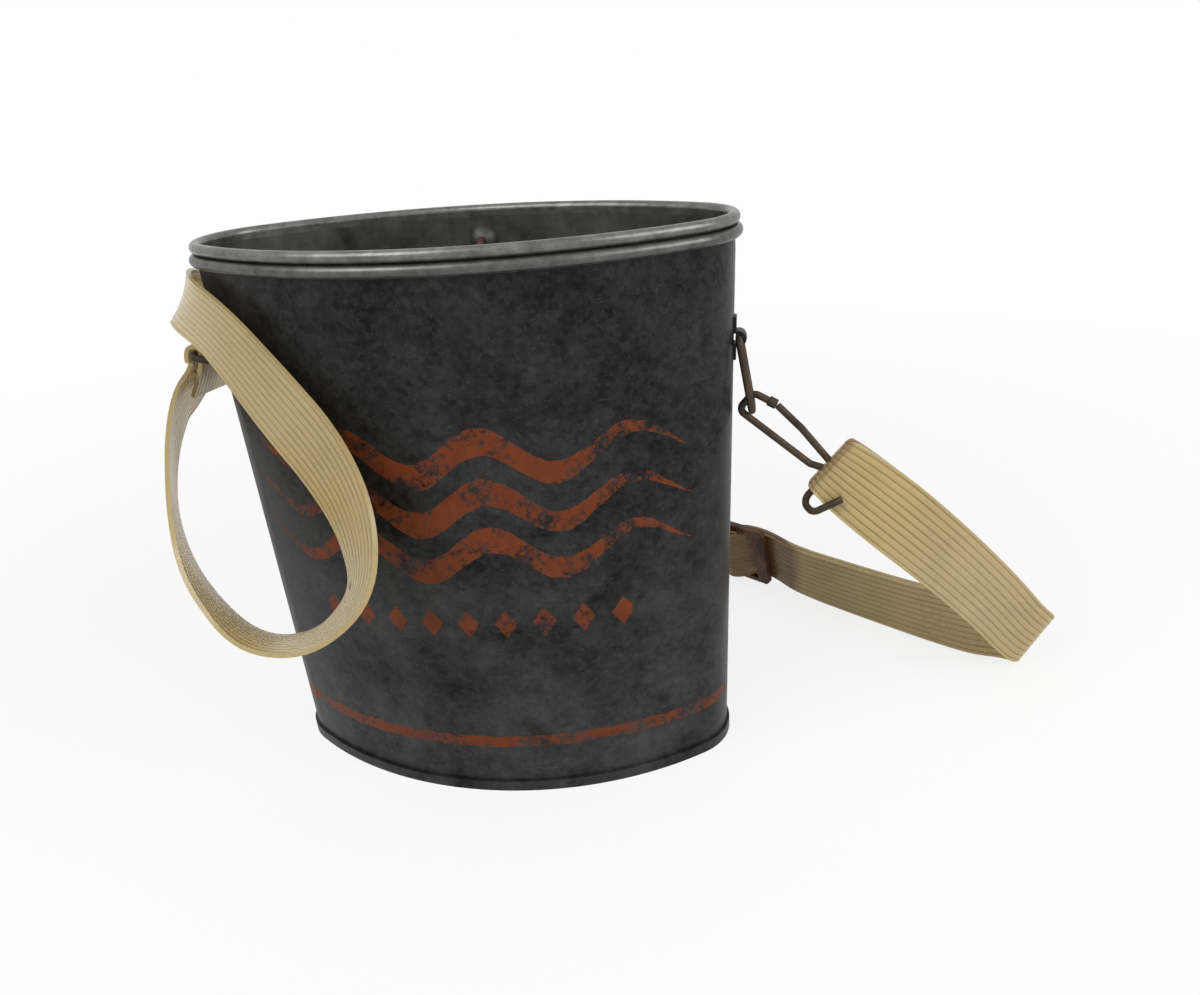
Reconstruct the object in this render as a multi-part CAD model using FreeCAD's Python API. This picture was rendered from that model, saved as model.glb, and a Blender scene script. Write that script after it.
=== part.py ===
"""Wading bait bucket: a tapered oval can, a perforated pail that lifts out of it, and a carrying strap.

Millimetres. X runs along the oval, the front faces -Y, Z is up and the floor is z = 0.
"""
import FreeCAD, Part

import math
import os

Vector = FreeCAD.Vector
UP = Vector(0, 0, 1)
ACROSS = Vector(0, 1, 0)
FORWARD = 1

# Oval of the can's rolled rim, seen from above
RIM_LENGTH = 200.0
RIM_WIDTH = 109.0
END_RADIUS = 31.0

# Sheet metal of the can and the pail
TOTAL_HEIGHT = 213.5
SHEET = 0.5
WALL_TAPER = 5.5
STRAIGHT_NECK = 6.8
RIM_DIAMETER = 4.2
WALL_INSET = 2.7
CURL_SLIT = 40.0
FIT = 0.05

# Base of the can
SEAM_HEIGHT = 4.4
SEAM_PROUD = 1.1
SEAM_LEG = 0.6
SEAM_FLOOR = 0.6
BASE_RECESS = 3.4
SIDE_SEAM_WIDTH = 9.0
SIDE_SEAM_THICKNESS = 0.7

# Pail that hangs inside the can
PAIL_RIM_INSET = 0.9
RIM_GAP = 0.3
PAIL_FLOOR_HEIGHT = 9.0
PAIL_FLANGE = 5.0
HOLE_DIAMETER = 4.0
HOLE_PITCH = 16.0
HOLE_MARGIN = 9.0

# Drop bail and the two domed bosses that carry it
BAIL_WIRE = 3.4
BAIL_DROP = 60.0
BAIL_PLACE = -4.5
BAIL_BEND = 3.0
BOSS_DIAMETER = 11.5
BOSS_HEIGHT = 4.5
BOSS_BELOW_TOP = 13.5
BAIL_FIT = 0.08
BAIL_BOSS_GAP = 0.4

# Ears on the narrow ends
EAR_BELOW_TOP = 44.0
EAR_WIDTH = 6.0
EAR_TAB = 5.0
EAR_SHEET = 0.9
LINK_PLAY = 0.5

# Wire links in the ears
LINK_WIRE = 2.7
LINK_BEND = 2.2
RIGHT_LINK_WIDTH = 12.8
RIGHT_LINK_LENGTH = 27.0
RIGHT_LINK_LEAN = 9.5
LEFT_LINK_WIDTH = 36.0
LEFT_LINK_LENGTH = 8.0
LEFT_LINK_RISE = 12.0
LEFT_LINK_SHIFT = 4.0

# Safety-pin snap between the right link and the strap
SNAP_WIRE = 2.7
SNAP_TILT = 39.8
SNAP_REACH = 38.5
SNAP_BACK = 3.4
SNAP_LOWER = 3.6
SNAP_NOSE_RISE = 6.4
SNAP_NOSE_LENGTH = 6.0
SNAP_BEND = 2.6
SNAP_SLEEVE = 3.8
SNAP_SLEEVE_LENGTH = 3.0
GATE_GAP = 0.8
TWO_WIRES = 1.65
BAR_DOWN = 17.0
BAR_UP = 10.0
HOOK_CURL = 3.5
HOOK_TAIL = (4.0, -16.3, -6.5)
HOOK_TAIL_END = (8.0, -5.0, -7.8)

# Flat ribbed strap
STRAP_WIDTH = 28.0
STRAP_THICKNESS = 1.6
LAYER_HALF_GAP = 1.15
FOLD_HALF_GAP = 2.75
FOLD_RISE = 1.3
SLOT_WIDTH = 7.2
STEPS_PER_SPAN = 4
LEFT_APPROACH = 12.0
LEFT_TAIL_TOP = 5.0
LEFT_TAIL = 16.0
LEFT_TAIL_LEAN = 0.6

# Heights of the strap's two ends when its route was drawn
DRAWN_FOLD = 119.22
DRAWN_LEFT_BAR = 171.16

# Three-bar slide on the strap
SLIDE_CENTRE = Vector(94.6, 129.7, 17.6)
SLIDE_HEADING = -36.0
SLIDE_LEAN = 12.6
SLIDE_BAR = 4.0
SLIDE_END_BAR = 6.5
SLIDE_THICKNESS = 3.0
SLIDE_PITCH = 15.5
SLIDE_RAIL = 2.4
SLIDE_PLAY = 0.7
WEAVE_GAP = 0.5

# What follows from those sizes
HALF_WIDTH = RIM_WIDTH / 2
END_CENTRE = RIM_LENGTH / 2 - END_RADIUS
SIDE_RADIUS = (HALF_WIDTH**2 + END_CENTRE**2 - END_RADIUS**2) / (2 * (HALF_WIDTH - END_RADIUS))
SIDE_CENTRE = SIDE_RADIUS - HALF_WIDTH
END_HALF_ANGLE = math.degrees(math.atan2(SIDE_CENTRE, END_CENTRE))
RIM_RADIUS = RIM_DIAMETER / 2
RIM_WIRE_RADIUS = RIM_RADIUS - SHEET - FIT
PAIL_RIM_Z = TOTAL_HEIGHT - RIM_RADIUS
PAIL_RIM_OFFSET = -PAIL_RIM_INSET - RIM_RADIUS
CAN_RIM_OFFSET = -RIM_RADIUS
CAN_WALL_OFFSET = -WALL_INSET
CAN_RIM_Z = PAIL_RIM_Z - math.sqrt((RIM_DIAMETER + RIM_GAP) ** 2 - PAIL_RIM_INSET**2)
PAIL_WALL_OFFSET = PAIL_RIM_OFFSET - RIM_RADIUS + SHEET
BAIL_Z = TOTAL_HEIGHT - BOSS_BELOW_TOP
EAR_HEIGHT = TOTAL_HEIGHT - EAR_BELOW_TOP


def along_oval(offset, angle, centre, radius, z):
    """Point on one arc of the oval that lies offset outside the rim's outline."""
    turn = math.radians(angle)
    reach = radius + offset
    return centre + Vector(reach * math.cos(turn), reach * math.sin(turn), z)


# Every oval here is four arcs about the same four centres: (centre, radius, start, sweep)
ARCS = [
    (Vector(END_CENTRE, 0, 0), END_RADIUS, -END_HALF_ANGLE, 2 * END_HALF_ANGLE),
    (Vector(0, -SIDE_CENTRE, 0), SIDE_RADIUS, END_HALF_ANGLE, 180 - 2 * END_HALF_ANGLE),
    (Vector(-END_CENTRE, 0, 0), END_RADIUS, 180 - END_HALF_ANGLE, 2 * END_HALF_ANGLE),
    (Vector(0, SIDE_CENTRE, 0), SIDE_RADIUS, 180 + END_HALF_ANGLE, 180 - 2 * END_HALF_ANGLE),
]


def revolved(profile, centre, radius, start, sweep):
    """Carry a face drawn in (offset, height) along part of one arc."""
    face = profile.copy()
    face.translate(Vector(radius, 0, 0))
    face.rotate(Vector(0, 0, 0), UP, start)
    face.translate(centre)
    return face.revolve(centre, UP, sweep)


def around(profile):
    """Carry a face drawn in (offset, height) round the whole oval."""
    sectors = [revolved(profile, *arc) for arc in ARCS]
    return sectors[0].multiFuse(sectors[1:]).removeSplitter()


def outline(points):
    """Face with straight sides through (offset, height) points."""
    corners = [Vector(offset, 0, z) for offset, z in points]
    return Part.Face(Part.makePolygon(corners + corners[:1]))


def disc(offset, z, radius):
    """Round face in the (offset, height) plane."""
    return Part.Face(Part.Wire(Part.Circle(Vector(offset, 0, z), ACROSS, radius).toShape()))


def oval_plate(offset, z, thickness):
    """Flat plate with the outline of an oval offset outside the rim."""
    edges = []
    for centre, radius, start, sweep in ARCS:
        points = [along_oval(offset, start + sweep * share, centre, radius, z) for share in (0, 0.5, 1)]
        edges.append(Part.Arc(*points).toShape())
    return Part.Face(Part.Wire(edges)).extrude(UP * thickness)


def wall_offset(top_offset, z):
    """Outer face of a wall that leans in below the straight neck under its rim."""
    low = SEAM_HEIGHT
    high = CAN_RIM_Z - STRAIGHT_NECK
    share = min(max((high - z) / (high - low), 0.0), 1.0)
    return top_offset - WALL_TAPER * share


def polar(centre, radius, angle):
    """Point of the (offset, height) plane on a circle."""
    turn = math.radians(angle)
    return Vector(centre[0] + radius * math.cos(turn), 0, centre[1] + radius * math.sin(turn))


def arc_edge(centre, radius, start, end):
    """Arc in the (offset, height) plane from one angle to another."""
    angles = (start, (start + end) / 2, end)
    return Part.Arc(*[polar(centre, radius, angle) for angle in angles]).toShape()


def joined(points):
    """Straight edges through a list of points."""
    return [Part.LineSegment(a, b).toShape() for a, b in zip(points, points[1:])]


def can_wall():
    """Tapered sheet whose top edge is curled outwards round a wire, with a slit under the curl."""
    centre = (CAN_RIM_OFFSET, CAN_RIM_Z)
    inner_radius = RIM_RADIUS - SHEET
    step_in = CAN_WALL_OFFSET - CAN_RIM_OFFSET
    outer_meet = 360 - math.degrees(math.acos(step_in / inner_radius))
    inner_meet = 360 - math.degrees(math.acos((step_in - SHEET) / RIM_RADIUS))
    lip = outer_meet - 360 + CURL_SLIT
    neck_z = CAN_RIM_Z - STRAIGHT_NECK
    low = wall_offset(CAN_WALL_OFFSET, 0)
    foot_z = SEAM_FLOOR + FIT
    edges = [arc_edge(centre, RIM_RADIUS, lip, inner_meet)]
    edges += joined([
        polar(centre, RIM_RADIUS, inner_meet),
        Vector(CAN_WALL_OFFSET - SHEET, 0, neck_z),
        Vector(low - SHEET, 0, SEAM_HEIGHT),
        Vector(low - SHEET, 0, foot_z),
        Vector(low, 0, foot_z),
        Vector(low, 0, SEAM_HEIGHT),
        Vector(CAN_WALL_OFFSET, 0, neck_z),
        polar(centre, inner_radius, outer_meet),
    ])
    edges.append(arc_edge(centre, inner_radius, outer_meet, lip))
    edges += joined([polar(centre, inner_radius, lip), polar(centre, RIM_RADIUS, lip)])
    return around(Part.Face(Part.Wire(Part.__sortEdges__(edges))))


def can_bottom():
    """Raised bottom panel whose edge hooks round the foot of the wall as a seam."""
    wall = wall_offset(CAN_WALL_OFFSET, 0)
    outside = wall + SEAM_PROUD
    inside = wall - SHEET - FIT - SEAM_LEG
    hook = outline([
        (outside, 0),
        (outside, SEAM_HEIGHT),
        (wall + FIT, SEAM_HEIGHT),
        (wall + FIT, SEAM_FLOOR),
        (wall - SHEET - FIT, SEAM_FLOOR),
        (wall - SHEET - FIT, SEAM_HEIGHT),
        (inside, SEAM_HEIGHT),
        (inside, 0),
    ])
    panel = oval_plate(inside, BASE_RECESS, SEAM_FLOOR)
    return around(hook).fuse(panel).removeSplitter()


def can_seam():
    """Lapped side seam standing on the back of the can."""
    low = SEAM_HEIGHT + FIT
    high = CAN_RIM_Z - RIM_RADIUS - STRAIGHT_NECK
    strip = outline([
        (wall_offset(CAN_WALL_OFFSET, low) + FIT, low),
        (wall_offset(CAN_WALL_OFFSET, low) + FIT + SIDE_SEAM_THICKNESS, low),
        (wall_offset(CAN_WALL_OFFSET, high) + FIT + SIDE_SEAM_THICKNESS, high),
        (wall_offset(CAN_WALL_OFFSET, high) + FIT, high),
    ])
    centre, radius = ARCS[1][:2]
    half = math.degrees(SIDE_SEAM_WIDTH / 2 / SIDE_RADIUS)
    return revolved(strip, centre, radius, 90 - half, 2 * half)


def pail_wall():
    """Inner sheet rolled outwards over its own wire, to hang on the can's rim, with a turned-in foot."""
    centre = (PAIL_RIM_OFFSET, PAIL_RIM_Z)
    inner_radius = RIM_RADIUS - SHEET
    lip = -180 + CURL_SLIT
    neck_z = CAN_RIM_Z - STRAIGHT_NECK
    low = wall_offset(PAIL_WALL_OFFSET, PAIL_FLOOR_HEIGHT)
    edges = [arc_edge(centre, RIM_RADIUS, 180, lip)]
    edges += joined([polar(centre, RIM_RADIUS, lip), polar(centre, inner_radius, lip)])
    edges.append(arc_edge(centre, inner_radius, lip, 180))
    edges += joined([
        polar(centre, inner_radius, 180),
        Vector(PAIL_WALL_OFFSET, 0, neck_z),
        Vector(low, 0, PAIL_FLOOR_HEIGHT),
        Vector(low - PAIL_FLANGE, 0, PAIL_FLOOR_HEIGHT),
        Vector(low - PAIL_FLANGE, 0, PAIL_FLOOR_HEIGHT + SHEET),
        Vector(low - SHEET, 0, PAIL_FLOOR_HEIGHT + SHEET),
        Vector(PAIL_WALL_OFFSET - SHEET, 0, neck_z),
        polar(centre, RIM_RADIUS, 180),
    ])
    return around(Part.Face(Part.Wire(Part.__sortEdges__(edges))))


def pail_floor():
    """Perforated floor laid on the turned-in foot of the pail's wall."""
    foot = PAIL_FLOOR_HEIGHT + SHEET + FIT
    low_offset = wall_offset(PAIL_WALL_OFFSET, PAIL_FLOOR_HEIGHT) - SHEET - FIT
    plate = oval_plate(low_offset, foot, SHEET)
    room_x = RIM_LENGTH / 2 + low_offset - HOLE_MARGIN
    room_y = HALF_WIDTH + low_offset - HOLE_MARGIN
    rows = int(room_y / HOLE_PITCH)
    columns = int(room_x / HOLE_PITCH)
    holes = []
    for row in range(-rows, rows + 1):
        for column in range(-columns, columns + 1):
            place = Vector(column * HOLE_PITCH, row * HOLE_PITCH, foot - SHEET)
            if math.hypot(place.x / room_x, place.y / room_y) <= 1.0:
                holes.append(Part.makeCylinder(HOLE_DIAMETER / 2, 3 * SHEET, place))
    return plate.cut(Part.makeCompound(holes))


def inner_wall_y():
    """Distance from the middle to the pail's inner face at the height of the bail's bosses."""
    inset = wall_offset(PAIL_WALL_OFFSET, BAIL_Z) - SHEET
    return math.sqrt((SIDE_RADIUS + inset) ** 2 - BAIL_PLACE**2) - SIDE_CENTRE


def boss(side):
    """Domed boss on the pail's inner wall, bored for one end of the bail."""
    wall_y = inner_wall_y()
    radius = (BOSS_HEIGHT**2 + (BOSS_DIAMETER / 2) ** 2) / (2 * BOSS_HEIGHT)
    seat = Vector(BAIL_PLACE, side * (wall_y - FIT), BAIL_Z)
    inward = Vector(0, -side, 0)
    ball = Part.makeSphere(radius, seat + inward * (BOSS_HEIGHT - radius))
    keep = Part.makeCylinder(BOSS_DIAMETER / 2, 2 * BOSS_HEIGHT, seat, inward)
    bore = Part.makeCylinder(BAIL_WIRE / 2 + BAIL_FIT, 2 * BOSS_HEIGHT, seat, inward)
    dome = ball.common(keep).cut(bore)
    slack = wall_offset(PAIL_WALL_OFFSET, BAIL_Z - BOSS_DIAMETER / 2) - SHEET - FIT
    room = oval_plate(slack, BAIL_Z - BOSS_DIAMETER, 2 * BOSS_DIAMETER)
    return dome.common(room)


def bent_path(points, bend, closed=False):
    """Straight runs through the points, with each corner rounded to the bend radius."""
    count = len(points)
    corners = range(count) if closed else range(1, count - 1)
    starts = {}
    ends = {}
    arcs = {}
    for i in corners:
        here = points[i]
        back = (points[i - 1] - here).normalize()
        ahead = (points[(i + 1) % count] - here).normalize()
        half = back.getAngle(ahead) / 2
        reach = bend / math.tan(half)
        middle = (back + ahead).normalize() * (bend / math.sin(half) - bend)
        starts[i] = here + back * reach
        ends[i] = here + ahead * reach
        arcs[i] = Part.Arc(starts[i], here + middle, ends[i]).toShape()
    edges = []
    for i in range(count if closed else count - 1):
        j = (i + 1) % count
        run_start = ends.get(i, points[i])
        run_end = starts.get(j, points[j])
        edges.append(Part.LineSegment(run_start, run_end).toShape())
        if j in arcs:
            edges.append(arcs[j])
    return Part.Wire(edges)


def rod(points, diameter, bend, closed=False):
    """Round wire bent along the points."""
    path = bent_path(points, bend, closed)
    first = path.Edges[0]
    start = first.valueAt(first.FirstParameter)
    heading = first.tangentAt(first.FirstParameter)
    ring = Part.Wire(Part.Circle(start, heading, diameter / 2).toShape())
    return Part.Solid(path.makePipeShell([ring], True, False))


def bail():
    """Drop bail hanging into the pail, with its ends turned out into the bosses."""
    end_y = inner_wall_y() - FIT - LINK_PLAY
    leg_y = inner_wall_y() - BOSS_HEIGHT - BAIL_BEND - BAIL_BOSS_GAP
    reach = BAIL_Z - BAIL_DROP + leg_y
    corners = [
        Vector(BAIL_PLACE, end_y, BAIL_Z),
        Vector(BAIL_PLACE, leg_y, BAIL_Z),
        Vector(BAIL_PLACE, leg_y, reach),
    ]
    half = rod(corners, BAIL_WIRE, BAIL_BEND)
    ring = Part.Face(Part.Wire(Part.Circle(corners[-1], UP, BAIL_WIRE / 2).toShape()))
    quarter = ring.revolve(Vector(BAIL_PLACE, 0, reach), Vector(1, 0, 0), -90)
    side = half.fuse(quarter)
    other = side.mirror(Vector(BAIL_PLACE, 0, 0), ACROSS)
    return side.fuse(other).removeSplitter()


def ear_axis(side):
    """Middle of the link's bar inside an ear."""
    out = wall_offset(CAN_WALL_OFFSET, EAR_HEIGHT) + FIT + LINK_WIRE / 2 + LINK_PLAY
    return Vector(side * (END_CENTRE + END_RADIUS + out), 0, EAR_HEIGHT)


def ear(side):
    """Strip soldered to a narrow end of the can and arched out over the link's bar."""
    bore = LINK_WIRE / 2 + LINK_PLAY
    crown = bore + EAR_SHEET
    low = EAR_HEIGHT - crown - EAR_TAB
    high = EAR_HEIGHT + crown + EAR_TAB
    middle = abs(ear_axis(side).x) - END_CENTRE - END_RADIUS

    def seat(z, lift=0.0):
        return Vector(wall_offset(CAN_WALL_OFFSET, z) + FIT + lift, 0, z)

    centre = (middle, EAR_HEIGHT)
    edges = joined([
        polar(centre, bore, -90),
        seat(EAR_HEIGHT - bore),
        seat(low),
        seat(low, EAR_SHEET),
        seat(EAR_HEIGHT - crown, EAR_SHEET),
        polar(centre, crown, -90),
    ])
    edges.append(arc_edge(centre, crown, -90, 90))
    edges += joined([
        polar(centre, crown, 90),
        seat(EAR_HEIGHT + crown, EAR_SHEET),
        seat(high, EAR_SHEET),
        seat(high),
        seat(EAR_HEIGHT + bore),
        polar(centre, bore, 90),
    ])
    edges.append(arc_edge(centre, bore, 90, -90))
    profile = Part.Face(Part.Wire(Part.__sortEdges__(edges)))
    half = math.degrees(EAR_WIDTH / 2 / END_RADIUS)
    start = 0 if side > 0 else 180
    return revolved(profile, Vector(side * END_CENTRE, 0, 0), END_RADIUS, start - half, 2 * half)


def loop(first, second, width, shift):
    """Closed wire link with two parallel bars along Y, first and second being their middles."""
    half = Vector(0, (width - LINK_WIRE) / 2, 0)
    move = Vector(0, shift, 0)
    corners = [first - half + move, first + half + move, second + half + move, second - half + move]
    start = (corners[0] + corners[1]) * 0.5
    return rod([start] + corners[1:] + corners[:1] + [start], LINK_WIRE, LINK_BEND)


def right_link_bar():
    """Middle of the right link's lower bar."""
    lean = math.radians(RIGHT_LINK_LEAN)
    return ear_axis(1) + Vector(math.sin(lean), 0, -math.cos(lean)) * RIGHT_LINK_LENGTH


def left_link_bar():
    """Middle of the left link's outer bar, which carries the end of the strap."""
    rise = math.radians(LEFT_LINK_RISE)
    return ear_axis(-1) + Vector(-math.cos(rise), 0, math.sin(rise)) * LEFT_LINK_LENGTH


def snap_point(along, over, front=0.0):
    """Point in the plane of the snap: along its length from the link's bar, and over that line."""
    tilt = math.radians(SNAP_TILT)
    heading = Vector(math.cos(tilt), 0, -math.sin(tilt))
    raised = Vector(math.sin(tilt), 0, math.cos(tilt))
    return right_link_bar() + heading * along + raised * over + Vector(0, front, 0)


def snap_hook():
    """Bent wire hook: nose, bend round the link, lower leg, bar in the strap's fold and turned-up tail."""
    strap_bar = SNAP_REACH
    tail = [snap_point(strap_bar + along, over, front) for along, over, front in (HOOK_TAIL, HOOK_TAIL_END)]
    points = [
        snap_point(SNAP_NOSE_LENGTH, SNAP_NOSE_RISE),
        snap_point(-SNAP_BACK, SNAP_NOSE_RISE - SNAP_BACK / 2),
        snap_point(-SNAP_BACK, -SNAP_LOWER),
        snap_point(strap_bar - 3 * SNAP_BEND, -SNAP_LOWER),
        snap_point(strap_bar - SNAP_BEND, -TWO_WIRES),
        snap_point(strap_bar, -TWO_WIRES),
        snap_point(strap_bar, -BAR_DOWN),
    ]
    wire = rod(points[:5], SNAP_WIRE, SNAP_BEND)
    half_bar = snap_point(strap_bar, -BAR_DOWN / 2)
    turn = rod(points[4:6] + [half_bar], SNAP_WIRE, SNAP_WIRE / 2 + FIT)
    curl = rod([half_bar, points[6]] + tail, SNAP_WIRE, HOOK_CURL)
    nose = points[0]
    sleeve = Part.makeCylinder(SNAP_SLEEVE / 2, SNAP_SLEEVE_LENGTH, nose, points[1] - nose)
    return wire.fuse([turn, curl, sleeve]).removeSplitter()


def snap_gate():
    """Springy wire arm from the strap's fold to just short of the hook's nose."""
    points = [
        snap_point(SNAP_NOSE_LENGTH + GATE_GAP, SNAP_NOSE_RISE),
        snap_point(SNAP_REACH / 2, SNAP_NOSE_RISE - SNAP_WIRE / 2),
        snap_point(SNAP_REACH - SNAP_BEND, TWO_WIRES),
        snap_point(SNAP_REACH, TWO_WIRES),
        snap_point(SNAP_REACH, BAR_UP),
    ]
    arm = rod(points[:3], SNAP_WIRE, SNAP_BEND)
    bar = rod(points[2:], SNAP_WIRE, SNAP_WIRE / 2 + FIT)
    return arm.fuse(bar).removeSplitter()


def station(x, y, z, across_x, across_y, across_z):
    """One hand-chosen point of the strap: its middle and the direction across its width."""
    return Vector(x, y, z), Vector(across_x, across_y, across_z).normalize()


def slide_axes():
    """Directions of the slide: along the strap towards its far fold, across it, and out to the front."""
    heading = math.radians(SLIDE_HEADING)
    lean = math.radians(SLIDE_LEAN)
    along = Vector(math.cos(heading), math.sin(heading), 0)
    level = along.cross(UP)
    across = level * math.sin(lean) + UP * math.cos(lean)
    return along, across, along.cross(across)


def at_slide(along, out):
    """Strap station at a place along the slide, so far out in front of its middle plane."""
    run, across, front = slide_axes()
    return SLIDE_CENTRE + run * along + front * out, across


def carried(stations, height, drawn):
    """Stations raised or lowered with the end that carries them, while those on the floor stay there."""
    floor = STRAP_WIDTH / 2
    share = (height - floor) / (drawn - floor)
    return [(Vector(place.x, place.y, floor + (place.z - floor) * share), across) for place, across in stations]


def doubled_run():
    """Middle of the doubled strap, from the snap to its far fold on the floor and back to the slide."""
    fold = snap_point(SNAP_REACH, FOLD_RISE)
    route = [
        station(141.6, -3.0, 112.4, 0.62, 0.12, 0.77),
        station(160.0, -3.0, 96.5, 0.65, 0.32, 0.69),
        station(183.5, 16.5, 69.0, 0.64, 0.20, 0.74),
        station(205.5, 36.0, 41.0, 0.62, 0.20, 0.76),
        station(219.0, 45.5, 22.5, 0.60, 0.20, 0.78),
        station(228.0, 49.6, 13.8, 0.57, 0.20, 0.80),
        station(226.8, 54.8, 13.4, 0.56, 0.20, 0.81),
        station(219.5, 57.6, 14.6, 0.46, 0.14, 0.88),
        station(206.0, 59.0, 14.8, 0.20, 0.04, 0.98),
        station(192.0, 66.0, 14.8, 0.02, 0.00, 1.00),
        station(176.5, 75.5, 14.6, -0.06, -0.07, 1.00),
        station(148.5, 95.0, 14.7, -0.08, -0.10, 0.99),
        station(126.0, 109.8, 15.8, -0.11, -0.15, 0.98),
    ]
    return [(fold, snap_point(0, 1) - snap_point(0, 0))] + carried(route, fold.z, DRAWN_FOLD)


def long_run():
    """Middle of the single strap, from the slide round behind the can to its left end and the front loop."""
    route = [
        station(58.0, 150.0, 17.4, -0.09, -0.16, 0.98),
        station(26.0, 157.0, 22.0, 0.10, -0.10, 0.99),
        station(-10.0, 152.0, 38.0, 0.30, -0.06, 0.95),
        station(-44.0, 136.0, 64.0, 0.45, 0.00, 0.89),
        station(-74.0, 112.0, 98.0, 0.58, 0.06, 0.81),
        station(-98.0, 82.0, 134.0, 0.68, 0.16, 0.71),
        station(-113.0, 48.0, 168.0, 0.72, 0.22, 0.66),
        station(-117.0, 12.0, 190.0, 0.70, 0.08, 0.71),
        station(-104.0, -22.0, 193.0, 0.72, -0.10, 0.69),
        station(-80.0, -36.0, 183.5, 0.72, -0.20, 0.66),
        station(-58.5, -45.5, 163.0, 0.72, -0.21, 0.66),
        station(-39.0, -55.5, 145.0, 0.74, -0.28, 0.61),
        station(-26.0, -63.5, 123.5, 0.71, -0.48, 0.51),
        station(-26.5, -71.5, 101.5, 0.62, -0.66, 0.42),
        station(-44.0, -78.5, 84.5, 0.47, -0.83, 0.29),
        station(-69.0, -77.0, 85.0, 0.41, -0.89, 0.21),
        station(-92.0, -67.0, 99.0, 0.39, -0.89, 0.23),
        station(-107.5, -49.0, 118.0, 0.45, -0.84, 0.30),
        station(-114.5, -32.0, 138.0, 0.43, -0.80, 0.42),
        station(-116.5, -15.0, 147.0, 0.30, -0.88, 0.30),
        station(-112.6, -1.0, 150.5, 0.10, -0.99, 0.10),
    ]
    return carried(route, left_link_bar().z, DRAWN_LEFT_BAR)


def left_end():
    """Turn of the strap's end over the left link's outer bar, down to its short tail."""
    bar = left_link_bar()
    reach = FOLD_HALF_GAP + WEAVE_GAP
    y = LEFT_LINK_SHIFT
    return [
        station(bar.x - reach, y, bar.z - LEFT_APPROACH, 0.0, -1.0, 0.0),
        station(bar.x - reach, y, bar.z + reach, 0.0, -1.0, 0.0),
        station(bar.x + reach, y, bar.z + reach, 0.0, -1.0, 0.0),
        station(bar.x + reach, y, bar.z - LEFT_TAIL_TOP, 0.0, -1.0, 0.0),
        station(bar.x + reach - LEFT_TAIL_LEAN, y, bar.z - LEFT_TAIL, 0.0, -1.0, 0.0),
    ]


def normal_at(stations, i):
    """Direction out of the strap's outer face at one of its stations."""
    before = stations[max(i - 1, 0)][0]
    after = stations[min(i + 1, len(stations) - 1)][0]
    return stations[i][1].cross(after - before).normalize()


def layer(stations, side):
    """One of the two layers of the doubled strap, apart by more at the fold round the snap's bar."""
    moved = []
    for i, (middle, across) in enumerate(stations):
        gap = LAYER_HALF_GAP if i else FOLD_HALF_GAP
        moved.append((middle + normal_at(stations, i) * side * gap, across))
    return moved


def fold_turn():
    """Turn of the strap round the snap's bar, from the inner layer to the outer one."""
    stations = doubled_run()
    middle, across = stations[0]
    out = normal_at(stations, 0) * FOLD_HALF_GAP
    back = (stations[0][0] - stations[1][0]).normalize() * FOLD_HALF_GAP
    return [(middle - out + back, across), (middle + out + back, across)]


def weave():
    """Running strap behind the slide's outer bars and over its middle one."""
    behind = SLIDE_THICKNESS / 2 + WEAVE_GAP + STRAP_THICKNESS / 2
    over = behind + STRAP_THICKNESS + 2 * WEAVE_GAP
    half_pitch = SLIDE_PITCH / 2
    return [
        at_slide(SLIDE_PITCH + half_pitch, -behind),
        at_slide(SLIDE_PITCH - SLIDE_BAR, -behind - 2 * WEAVE_GAP),
        at_slide(half_pitch / 2, over + 2 * WEAVE_GAP),
        at_slide(-half_pitch / 2, over + 2 * WEAVE_GAP),
        at_slide(-SLIDE_PITCH + SLIDE_BAR, -behind - 2 * WEAVE_GAP),
        at_slide(-SLIDE_PITCH - half_pitch, -behind),
    ]


def anchor():
    """End of the inner layer, behind the slide's right bar and round its middle one."""
    behind = SLIDE_THICKNESS / 2 + WEAVE_GAP + STRAP_THICKNESS / 2
    farther = behind + STRAP_THICKNESS + 3 * WEAVE_GAP
    wrap = SLIDE_BAR / 2 + WEAVE_GAP + STRAP_THICKNESS
    return [
        at_slide(SLIDE_PITCH + SLIDE_BAR, -farther),
        at_slide(SLIDE_PITCH / 2, -farther),
        at_slide(0.0, -behind),
        at_slide(-wrap, -behind),
        at_slide(-wrap - WEAVE_GAP, behind + WEAVE_GAP),
        at_slide(wrap, behind),
    ]


def quadratic(points):
    """Curve drawn by its control points, which starts and ends on the first and last of them."""
    spans = len(points) - 2
    curve = Part.BSplineCurve()
    repeats = [3] + [1] * (spans - 1) + [3]
    curve.buildFromPolesMultsKnots(points, repeats, list(range(spans + 1)), False, 2)
    return curve


def skinned(sections):
    """Solid through four-cornered sections, each side ruled from one section to the next."""
    faces = [Part.Face(Part.makePolygon(end + end[:1])) for end in (sections[0], sections[-1])]
    for near, far in zip(sections, sections[1:]):
        for k, corner in enumerate(near):
            following = (k + 1) % len(near)
            near_side = Part.makeLine(corner, near[following])
            far_side = Part.makeLine(far[k], far[following])
            faces.append(Part.makeRuledSurface(near_side, far_side, FORWARD))
    shell = Part.makeShell(faces)
    shell.sewShape()
    solid = Part.makeSolid(shell)
    if solid.Volume < 0:
        solid.reverse()
    return solid


def whole_strap():
    """Stations of the strap from its end on the slide to its end on the left link, stretch by stretch."""
    return {
        "strap_inner": anchor()[::-1] + layer(doubled_run(), -1)[::-1],
        "strap_outer": fold_turn() + layer(doubled_run(), 1) + weave(),
        "strap_long": long_run(),
        "strap_tail": left_end(),
    }


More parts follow.
